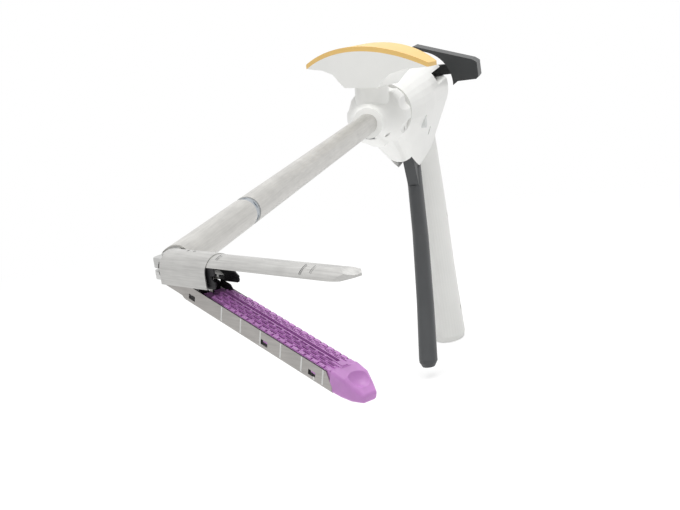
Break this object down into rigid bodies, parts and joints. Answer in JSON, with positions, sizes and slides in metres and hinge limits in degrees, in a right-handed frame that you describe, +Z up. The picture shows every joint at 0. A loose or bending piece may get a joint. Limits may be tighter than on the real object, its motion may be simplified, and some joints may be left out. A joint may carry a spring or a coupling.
{
  "type": "endoscopic linear stapler",
  "caption": "Hand-held endoscopic surgical stapler with a long rotating shaft, articulating open jaws, stapling cartridge, knife, squeeze trigger and pistol grip.",
  "frame": {"origin": "middle of the shaft tube, on its axis", "axes": "+X along the shaft towards the jaws, +Z up away from the grip, +Y to the surgeon's left"},
  "size_m": [0.6369, 0.1217, 0.2264],
  "materials": {
    "shaft_steel": "satin, fine lengthwise grain",
    "ring_steel": "satin",
    "sleeve_steel": "bright satin",
    "channel_steel": "satin, brushed lengthwise",
    "dark_steel": "satin",
    "steel": "ground",
    "black_trim": "matt",
    "purple_plastic": "semi-matt moulded",
    "dark_purple": "matt",
    "white_plastic": "soft gloss moulded",
    "amber_plastic": "soft gloss",
    "dark_grey_plastic": "fine matt texture",
    "grey_plastic": "matt",
    "black_plastic": "fine matt texture"
  },
  "bodies": {
    "handle": {"housing_left": "white_plastic", "housing_right": "white_plastic", "housing_screws": "steel", "trigger_pin": "steel", "trigger_spring": "steel", "shaft_bushing": "grey_plastic"},
    "shaft": {"outer_shaft": "shaft_steel", "coupling_ring": "ring_steel", "reload_tube": "shaft_steel", "tube_end": "dark_steel", "articulation_pins": "dark_steel", "knob_left": "white_plastic", "knob_right": "white_plastic", "knob_screws": "steel"},
    "link": {"articulation_link": "steel"},
    "jaw": {"mounting_upper": "dark_steel", "mounting_lower": "dark_steel", "cover_sleeve": "sleeve_steel", "anvil_cover": "sleeve_steel", "anvil_plate": "steel", "tissue_stop": "black_trim", "jaw_hinge_pins": "steel"},
    "cartridge": {"cartridge_channel": "channel_steel", "cartridge_body": "purple_plastic", "pushers": "dark_purple"},
    "cutter": {"knife": "steel", "sled": "dark_purple"},
    "lever": {"articulation_lever": "white_plastic", "lever_inlay": "amber_plastic", "lever_shaft": "steel"},
    "release": {"release_button": "grey_plastic"},
    "trigger": {"trigger_arm": "dark_grey_plastic", "trigger_pad": "dark_grey_plastic", "drive_pawl": "steel", "pawl_pin": "steel"},
    "firing": {"firing_rod": "steel", "toothed_rack": "steel", "retraction_knobs": "black_plastic"},
    "safety": {"safety_button": "grey_plastic"}
  },
  "joints": [
    {"name": "knob_spin", "type": "hinge", "parent": "handle", "child": "shaft", "pos_m": [0, 0, 0], "axis": [1, 0, 0], "continuous": true},
    {"name": "articulation", "type": "hinge", "parent": "shaft", "child": "jaw", "pos_m": [0.227, 0, 0], "axis": [0, 0, 1], "range_deg": [-106, 0]},
    {"name": "link_slide", "type": "slide", "parent": "shaft", "child": "link", "axis": [1, 0, 0], "range_m": [-0.0056, 0]},
    {"name": "lever_turn", "type": "hinge", "parent": "shaft", "child": "lever", "pos_m": [-0.152, 0, 0], "axis": [0, 0.0698, 0.9976], "range_deg": [-140, 0]},
    {"name": "trigger_squeeze", "type": "hinge", "parent": "handle", "child": "trigger", "pos_m": [-0.248, 0, -0.022], "axis": [0, 1, 0], "range_deg": [0, 20], "stiffness_Nm_per_rad": 1.2, "springref_deg": -8.59},
    {"name": "jaw_close", "type": "hinge", "parent": "jaw", "child": "cartridge", "pos_m": [0.22881, 0.0024, -0.00075], "axis": [-0.7986, 0.6018, 0], "range_deg": [-18, 0]},
    {"name": "firing_slide", "type": "slide", "parent": "handle", "child": "firing", "axis": [1, 0, 0], "range_m": [0, 0.06]},
    {"name": "knife_slide", "type": "slide", "parent": "cartridge", "child": "cutter", "axis": [0.5724, 0.7595, -0.309], "range_m": [0, 0.06]},
    {"name": "release_slide", "type": "slide", "parent": "shaft", "child": "release", "axis": [-1, 0, 0], "range_m": [0, 0.0018], "stiffness_N_per_m": 300},
    {"name": "safety_press", "type": "slide", "parent": "handle", "child": "safety", "axis": [0, -1, 0], "range_m": [0, 0.002]}
  ],
  "couplings": [
    {"joint": "lever_turn", "follows": "articulation", "ratio": 1.32},
    {"joint": "link_slide", "follows": "articulation", "m_per_rad": 0.0030218},
    {"joint": "jaw_close", "follows": "trigger_squeeze", "ratio": -0.9},
    {"joint": "knife_slide", "follows": "firing_slide", "ratio": 1}
  ]
}
